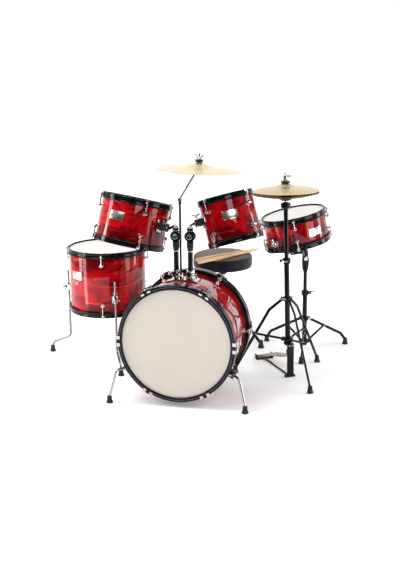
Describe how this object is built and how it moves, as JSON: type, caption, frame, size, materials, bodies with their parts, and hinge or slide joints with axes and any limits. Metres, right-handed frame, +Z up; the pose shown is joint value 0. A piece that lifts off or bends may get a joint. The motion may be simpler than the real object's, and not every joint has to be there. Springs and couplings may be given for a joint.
{
  "type": "acoustic drum kit",
  "caption": "Junior acoustic drum kit with bass drum, hanging toms, floor tom, snare on a stand, crash, hi-hat, pedal, sticks and a padded throne.",
  "frame": {"origin": "on the floor, at the middle of the kit's outline seen from above", "axes": "+Z up, -Y the way the bass drum's front head looks, +X towards the hi-hat and snare"},
  "size_m": [1.2158, 1.0122, 0.8951],
  "materials": {
    "red_wrap": "gloss pearl wrap",
    "cream_film": "satin",
    "white_film": "coated satin",
    "black_hoop": "gloss black",
    "cymbal_brass": "lathed satin",
    "bronze_metal": "satin bronze grey",
    "black_vinyl": "grained",
    "stick_wood": "smooth clear lacquer",
    "black_steel": "satin black",
    "chrome_plate": "polished"
  },
  "bodies": {
    "kit": {"bass_shell": "red_wrap", "bass_front_hoop": "black_hoop", "bass_rear_hoop": "black_hoop", "bass_front_head": "cream_film", "bass_rear_head": "white_film", "tom_holder_base": "chrome_plate", "floor_tom_shell": "red_wrap", "floor_tom_top_hoop": "black_hoop", "floor_tom_bottom_hoop": "black_hoop", "floor_tom_top_head": "white_film", "floor_tom_bottom_head": "white_film", "snare_stand_base": "black_steel", "snare_stand_tripod": "black_steel", "hihat_frame": "black_steel", "hihat_tripod": "black_steel", "throne_base": "black_steel", "pedal_frame": "black_steel"},
    "spur_left": {"spur_left": "chrome_plate"},
    "spur_right": {"spur_right": "chrome_plate"},
    "post_left": {"tom_post_left": "black_steel"},
    "arm_left": {"tom_arm_left": "chrome_plate"},
    "tom_left": {"tom_left_shell": "red_wrap", "tom_left_top_hoop": "black_hoop", "tom_left_bottom_hoop": "black_hoop", "tom_left_top_head": "white_film", "tom_left_bottom_head": "white_film"},
    "post_right": {"tom_post_right": "black_steel"},
    "arm_right": {"tom_arm_right": "chrome_plate"},
    "tom_right": {"tom_right_shell": "red_wrap", "tom_right_top_hoop": "black_hoop", "tom_right_bottom_hoop": "black_hoop", "tom_right_top_head": "white_film", "tom_right_bottom_head": "white_film"},
    "crash_stem": {"crash_rod": "black_steel"},
    "crash_boom": {"crash_arm": "chrome_plate"},
    "crash": {"crash_cymbal": "cymbal_brass"},
    "leg_left": {"floor_tom_leg_left": "chrome_plate"},
    "leg_front": {"floor_tom_leg_front": "chrome_plate"},
    "leg_rear": {"floor_tom_leg_rear": "chrome_plate"},
    "snare_riser": {"snare_stand_upper_tube": "black_steel"},
    "basket": {"snare_basket": "black_steel"},
    "snare": {"snare_shell": "red_wrap", "snare_top_hoop": "black_hoop", "snare_bottom_hoop": "black_hoop", "snare_top_head": "white_film", "snare_bottom_head": "white_film", "snare_wires": "chrome_plate"},
    "throw_off": {"snare_throw_off": "chrome_plate"},
    "hihat_riser": {"hihat_upper_tube": "black_steel", "hihat_bottom_cymbal": "cymbal_brass"},
    "hihat_rod": {"hihat_pull_rod": "chrome_plate"},
    "hihat_top": {"hihat_top_cymbal": "cymbal_brass", "hihat_clutch": "chrome_plate"},
    "hihat_pedal": {"hihat_footboard": "bronze_metal"},
    "throne_riser": {"throne_post": "black_steel"},
    "throne_seat": {"throne_cushion": "black_vinyl"},
    "pedal_board": {"pedal_footboard": "bronze_metal"},
    "beater": {"pedal_beater": "chrome_plate"},
    "stick_front": {"stick_front": "stick_wood"},
    "stick_rear": {"stick_rear": "stick_wood"}
  },
  "joints": [
    {"name": "spur_right_fold", "type": "hinge", "parent": "kit", "child": "spur_right", "pos_m": [0.28189, -0.43714, 0.127], "axis": [0.6853, -0.7183, -0.1197], "range_deg": [0, 90]},
    {"name": "spur_left_fold", "type": "hinge", "parent": "kit", "child": "spur_left", "pos_m": [-0.09397, -0.43714, 0.127], "axis": [0.6853, 0.7183, 0.1197], "range_deg": [0, 90]},
    {"name": "tom_left_height", "type": "slide", "parent": "kit", "child": "post_left", "axis": [0, 0, 1], "range_m": [-0.03, 0.02]},
    {"name": "tom_right_height", "type": "slide", "parent": "kit", "child": "post_right", "axis": [0, 0, 1], "range_m": [-0.04, 0.02]},
    {"name": "tom_left_tilt", "type": "hinge", "parent": "post_left", "child": "arm_left", "pos_m": [0.05996, -0.33914, 0.597], "axis": [0, 1, 0], "range_deg": [-9, 20]},
    {"name": "tom_right_tilt", "type": "hinge", "parent": "post_right", "child": "arm_right", "pos_m": [0.11296, -0.33914, 0.597], "axis": [0, 1, 0], "range_deg": [-15, 3]},
    {"name": "tom_left_turn", "type": "hinge", "parent": "arm_left", "child": "tom_left", "pos_m": [-0.00518, -0.29623, 0.6202], "axis": [0.9195, -0.3834, -0.0868], "range_deg": [-12, 12]},
    {"name": "tom_right_turn", "type": "hinge", "parent": "arm_right", "child": "tom_right", "pos_m": [0.13431, -0.2475, 0.6333], "axis": [-0.8254, -0.5413, -0.1604], "range_deg": [-12, 12]},
    {"name": "crash_height", "type": "slide", "parent": "kit", "child": "crash_stem", "axis": [0, 0, 1], "range_m": [0, 0.045]},
    {"name": "crash_arm_tilt", "type": "hinge", "parent": "crash_stem", "child": "crash_boom", "pos_m": [0.08396, -0.36414, 0.733], "axis": [0, 1, 0], "range_deg": [-25, 5]},
    {"name": "crash_swing", "type": "hinge", "parent": "crash_boom", "child": "crash", "pos_m": [0.14818, -0.33376, 0.85994], "axis": [1, 0, 0], "range_deg": [-5, 5]},
    {"name": "floor_tom_leg_left_slide", "type": "slide", "parent": "kit", "child": "leg_left", "axis": [0, 0, 1], "range_m": [-0.05, 0.09]},
    {"name": "floor_tom_leg_front_slide", "type": "slide", "parent": "kit", "child": "leg_front", "axis": [0, 0, 1], "range_m": [-0.05, 0.09]},
    {"name": "floor_tom_leg_rear_slide", "type": "slide", "parent": "kit", "child": "leg_rear", "axis": [0, 0, 1], "range_m": [-0.05, 0.09]},
    {"name": "snare_height", "type": "slide", "parent": "kit", "child": "snare_riser", "axis": [0, 0, 1], "range_m": [-0.06, 0.08]},
    {"name": "snare_tilt", "type": "hinge", "parent": "snare_riser", "child": "basket", "pos_m": [0.43696, 0.28986, 0.393], "axis": [0.3073, -0.9516, 0], "range_deg": [-12, 12]},
    {"name": "snare_lift_off", "type": "slide", "parent": "basket", "child": "snare", "axis": [-0.1921, -0.062, 0.9794], "range_m": [0, 0.12]},
    {"name": "snare_throw_off_swing", "type": "hinge", "parent": "snare", "child": "throw_off", "pos_m": [0.32629, 0.14921, 0.47013], "axis": [0.817, -0.5631, 0.1246], "range_deg": [0, 70]},
    {"name": "hihat_height", "type": "slide", "parent": "kit", "child": "hihat_riser", "axis": [-0.0276, 0.0207, 0.9994], "range_m": [-0.05, 0]},
    {"name": "hihat_footboard_press", "type": "hinge", "parent": "kit", "child": "hihat_pedal", "pos_m": [0.29509, 0.13147, 0.014], "axis": [0.8231, 0.5678, 0], "range_deg": [0, 1.55], "stiffness_Nm_per_rad": 20, "springref_deg": -11.46},
    {"name": "hihat_rod_pull", "type": "slide", "parent": "kit", "child": "hihat_rod", "axis": [-0.0276, 0.0207, 0.9994], "range_m": [-0.0064, 0]},
    {"name": "hihat_clutch_slide", "type": "slide", "parent": "hihat_rod", "child": "hihat_top", "axis": [-0.0276, 0.0207, 0.9994], "range_m": [-0.05, 0]},
    {"name": "throne_height", "type": "slide", "parent": "kit", "child": "throne_riser", "axis": [0, 0, 1], "range_m": [-0.025, 0.06]},
    {"name": "throne_spin", "type": "hinge", "parent": "throne_riser", "child": "throne_seat", "pos_m": [0.07996, 0.31786, 0.34], "axis": [0, 0, 1], "continuous": true},
    {"name": "pedal_press", "type": "hinge", "parent": "kit", "child": "pedal_board", "pos_m": [0.09396, 0.03586, 0.016], "axis": [1, 0, 0], "range_deg": [0, 20], "stiffness_Nm_per_rad": 2, "springref_deg": -17.19},
    {"name": "beater_swing", "type": "hinge", "parent": "kit", "child": "beater", "pos_m": [0.09396, -0.14414, 0.15], "axis": [1, 0, 0], "range_deg": [0, 66]},
    {"name": "stick_front_lift", "type": "slide", "parent": "throne_riser", "child": "stick_front", "axis": [0, 0, 1], "range_m": [0, 0.15]},
    {"name": "stick_rear_lift", "type": "slide", "parent": "throne_riser", "child": "stick_rear", "axis": [0, 0, 1], "range_m": [0, 0.15]}
  ],
  "couplings": [
    {"joint": "hihat_rod_pull", "follows": "hihat_footboard_press", "m_per_rad": -0.234},
    {"joint": "hihat_clutch_slide", "follows": "hihat_height", "ratio": 1},
    {"joint": "beater_swing", "follows": "pedal_press", "ratio": 3.3}
  ]
}
